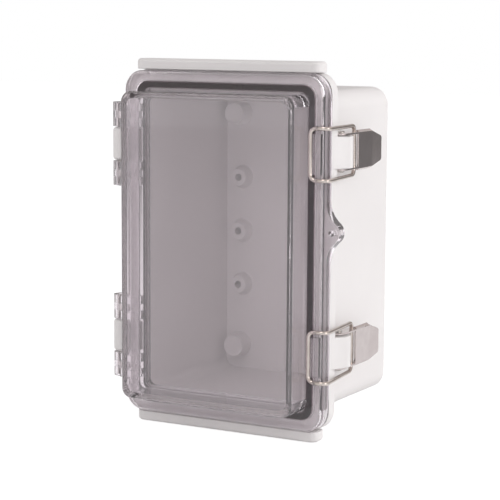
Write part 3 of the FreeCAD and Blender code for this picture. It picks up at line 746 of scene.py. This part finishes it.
@dataclass
class DrawLatch:
    """One draw latch: its pressed lever and its wire bail."""

    end: End
    lever_edge: float = 0.12 * MILLIMETRE
    crease: float = math.radians(9.5)
    wire: float = 0.9 * MILLIMETRE
    corner: float = 2.7 * MILLIMETRE
    bend: float = 2.5 * MILLIMETRE
    rear_inset: float = 0.2 * MILLIMETRE
    bend_to_rear: float = 3.4 * MILLIMETRE
    lever_finish: Steel = Steel("lever_stainless", (0.66, 0.61, 0.60), (0.60, 0.55, 0.54), 0.16)
    wire_finish: Steel = Steel("wire_stainless", (0.68, 0.63, 0.59), (0.56, 0.51, 0.47), 0.10)

    def build(self) -> None:
        """Build and dress the lever and the bail."""
        node = f"latch_lever_{self.end.value}"
        lever = show_mesh(f"pressed_{node}", merged_copy(node), self.lever_finish.build(),
                          sharp_above=self.crease)
        soften_edges(lever, self.lever_edge)
        steady_normals(lever)
        settle(lever, f"lever_{self.end.value}", node)
        node = f"latch_bail_{self.end.value}"
        bail = show_mesh(f"bent_{node}", self.bent_bail(node), self.wire_finish.build())
        settle(bail, f"bail_{self.end.value}", node)

    def bent_bail(self, node: str) -> bmesh.types.BMesh:
        """The closed loop of wire from the lever round the catch.

        Args:
            node: the frame node that it stands for.

        Returns:
            The bent wire.
        """
        half_wire = Vector((self.wire, self.wire, self.wire))
        low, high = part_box(node)
        low, high = low + half_wire, high - half_wire
        front = (low.x, low.y)
        bend = (high.x, low.y)
        rear = (high.x - self.bend_to_rear, high.y)
        corners = [Vector((*front, high.z)), Vector((*bend, high.z)),
                   Vector((*rear, high.z - self.rear_inset)),
                   Vector((*rear, low.z + self.rear_inset)),
                   Vector((*bend, low.z)), Vector((*front, low.z))]
        radii = [self.corner, self.bend, self.corner, self.corner, self.bend, self.corner]
        return BentWire(self.wire).bend(corners, radii)


@dataclass
class Studio:
    """The pale floor, the white surroundings and the soft lamps."""

    floor_half: float = 3.0
    floor_gap: float = 0.5 * MILLIMETRE
    floor_colour: Colour = (0.85, 0.85, 0.85)
    shadow_colour: Colour = (0.25, 0.25, 0.25)
    floor_glow: float = 0.92
    mirrored_floor: Colour = (1.0, 0.975, 0.985)
    mirrored_floor_light: float = 0.95
    floor_darkens: Range = (0.20, 0.90)
    key_power: float = 40.0
    key_size: float = 2.0
    key_from: Vector = field(default_factory=lambda: Vector((1.8, 0.7, 0.42)))
    fill_power: float = 19.0
    fill_size: float = 2.6
    fill_from: Vector = field(default_factory=lambda: Vector((-0.3, -1.7, 0.7)))
    ambient: float = 0.44
    ambient_colour: Colour = (1.0, 0.985, 0.98)
    through_colour: Colour = (0.72, 0.70, 0.71)
    mirror_colour: Colour = (1.0, 0.93, 0.91)
    mirror_dark: float = 0.22
    mirror_light: float = 0.7
    sky_lightens: Range = (0.05, 0.45)
    wall_darkens: Range = (0.2, 0.6)
    # Painted glints: bright spots in the surroundings that only reflections see; they stand in for
    # softboxes and light nothing.
    painted_glint_light: float = 3.0
    painted_glint_rim: Range = (0.955, 0.980)
    painted_glint_ways: Tuple[Vector, ...] = (Vector((0.93, -0.30, 0.20)), Vector((-0.10, -0.55, 0.83)),
                                          Vector((-0.80, -0.45, 0.40)))

    def build(self) -> None:
        """Build the floor, the world and the lamps."""
        self.lay_floor()
        self.light_world()
        self.add_lamp("key_lamp", self.key_from, self.key_power, self.key_size)
        self.add_lamp("fill_lamp", self.fill_from, self.fill_power, self.fill_size)

    def lay_floor(self) -> None:
        """Lay a plain floor that shows white and still takes the object's shadow."""
        low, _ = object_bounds()
        mesh = bmesh.new()
        bmesh.ops.create_grid(mesh, x_segments=1, y_segments=1, size=self.floor_half,
                              matrix=Matrix.Translation((0, 0, low[2] - self.floor_gap)))
        nodes = Nodes.of_material("pale_floor")
        plain = nodes.plain("ShaderNodeBsdfDiffuse", self.floor_colour)
        mirrored = nodes.plain("ShaderNodeEmission", self.mirrored_floor)
        place = nodes.add("ShaderNodeSeparateXYZ")
        nodes.link(nodes.coordinates.outputs["Object"], place.inputs["Vector"])
        nodes.link(nodes.spread(place.outputs["Y"], self.mirrored_floor_light, self.mirror_dark,
                                *self.floor_darkens), mirrored.inputs["Strength"])
        shown = nodes.add("ShaderNodeAddShader")
        nodes.link(nodes.plain("ShaderNodeBsdfDiffuse", self.shadow_colour).outputs[0],
                   shown.inputs[0])
        nodes.link(nodes.plain("ShaderNodeEmission", WHITE, self.floor_glow).outputs[0],
                   shown.inputs[1])
        path = nodes.add("ShaderNodeLightPath")
        lit = nodes.choose(path.outputs["Is Glossy Ray"], plain, mirrored)
        floor = show_mesh("floor", mesh, nodes.finish(
            nodes.choose(path.outputs["Is Camera Ray"], lit, shown)))
        floor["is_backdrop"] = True

    def light_world(self) -> None:
        """Light the object evenly, show white directly and a dark corner to what mirrors it."""
        nodes = Nodes.of_world("white_surroundings")
        light = nodes.plain("ShaderNodeBackground", self.ambient_colour, self.ambient)
        through = nodes.plain("ShaderNodeBackground", self.through_colour)
        shown = nodes.plain("ShaderNodeBackground", WHITE)
        mirrored = nodes.plain("ShaderNodeBackground", self.mirror_colour)
        nodes.link(self.mirrored_light(nodes), mirrored.inputs["Strength"])
        path = nodes.add("ShaderNodeLightPath")
        seen = nodes.choose(path.outputs["Is Glossy Ray"], light, mirrored)
        seen = nodes.choose(path.outputs["Is Transmission Ray"], seen, through)
        seen = nodes.choose(path.outputs["Is Camera Ray"], seen, shown)
        bpy.context.scene.world = nodes.finish(seen)

    def mirrored_light(self, nodes: Nodes) -> bpy.types.NodeSocket:
        """How bright the surroundings are to what mirrors them, by direction.

        Args:
            nodes: the world's node tree.

        Returns:
            The brightness: dark low behind the object, light elsewhere, with painted glints: bright
                spots that only reflections see and that light nothing.
        """
        way = nodes.add("ShaderNodeSeparateXYZ")
        nodes.link(nodes.coordinates.outputs["Generated"], way.inputs["Vector"])
        open_side = nodes.add("ShaderNodeMath", operation="MAXIMUM")
        nodes.link(nodes.spread(way.outputs["Z"], self.mirror_dark, self.mirror_light,
                                *self.sky_lightens), open_side.inputs[0])
        nodes.link(nodes.spread(way.outputs["Y"], self.mirror_light, 0.0, *self.wall_darkens),
                   open_side.inputs[1])
        brightness = open_side.outputs[0]
        # Add each painted glint, a bright spot that only reflections see.
        for glint_way in self.painted_glint_ways:
            towards = nodes.add("ShaderNodeVectorMath", operation="DOT_PRODUCT")
            towards.inputs[1].default_value = glint_way.normalized()
            nodes.link(nodes.coordinates.outputs["Generated"], towards.inputs[0])
            brighter = nodes.add("ShaderNodeMath", operation="ADD")
            nodes.link(brightness, brighter.inputs[0])
            nodes.link(nodes.spread(towards.outputs["Value"], 0.0, self.painted_glint_light,
                                    *self.painted_glint_rim), brighter.inputs[1])
            brightness = brighter.outputs[0]
        return brightness

    def add_lamp(self, name: str, place: Vector, power: float, size: float) -> None:
        """Add a square area lamp that faces the object.

        Args:
            name: the lamp's name.
            place: where it hangs.
            power: its power in watts.
            size: the length of its side.
        """
        data = bpy.data.lights.new(name, "AREA")
        data.energy = power
        data.size = size
        lamp = bpy.data.objects.new(name, data)
        lamp.location = place
        lamp.visible_glossy = False
        lamp.rotation_euler = (-place).to_track_quat("-Z", "Y").to_euler()
        bpy.context.scene.collection.objects.link(lamp)


@dataclass
class PhotoCamera:
    """The camera at the photograph's place."""

    place: Vector = field(default_factory=lambda: Vector((0.37459, -0.72167, 0.09924)))
    turn_degrees: Tuple[float, float, float] = (82.371, -0.322, 29.307)
    lens: float = 126.84
    sensor: float = 36.0
    nearest: float = 10.0 * MILLIMETRE

    def build(self) -> None:
        """Add the camera and look through it."""
        data = bpy.data.cameras.new("photo_camera")
        data.lens = self.lens
        data.sensor_width = self.sensor
        data.clip_start = self.nearest
        camera = bpy.data.objects.new("photo_camera", data)
        camera.location = self.place
        camera.rotation_euler = Euler([math.radians(angle) for angle in self.turn_degrees])
        bpy.context.scene.collection.objects.link(camera)
        bpy.context.scene.camera = camera


def main() -> None:
    """Build the enclosure's looks, its studio and its camera."""
    logging.basicConfig(level=logging.INFO, format="%(name)s: %(message)s")
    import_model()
    bpy.context.scene.view_settings.view_transform = "Standard"
    BodyMoulding().build()
    ClearLid().build()
    LidSeal().build()
    Pins().build()
    for end in End:
        DrawLatch(end).build()
    Studio().build()
    PhotoCamera().build()


if __name__ == "__main__":
    main()
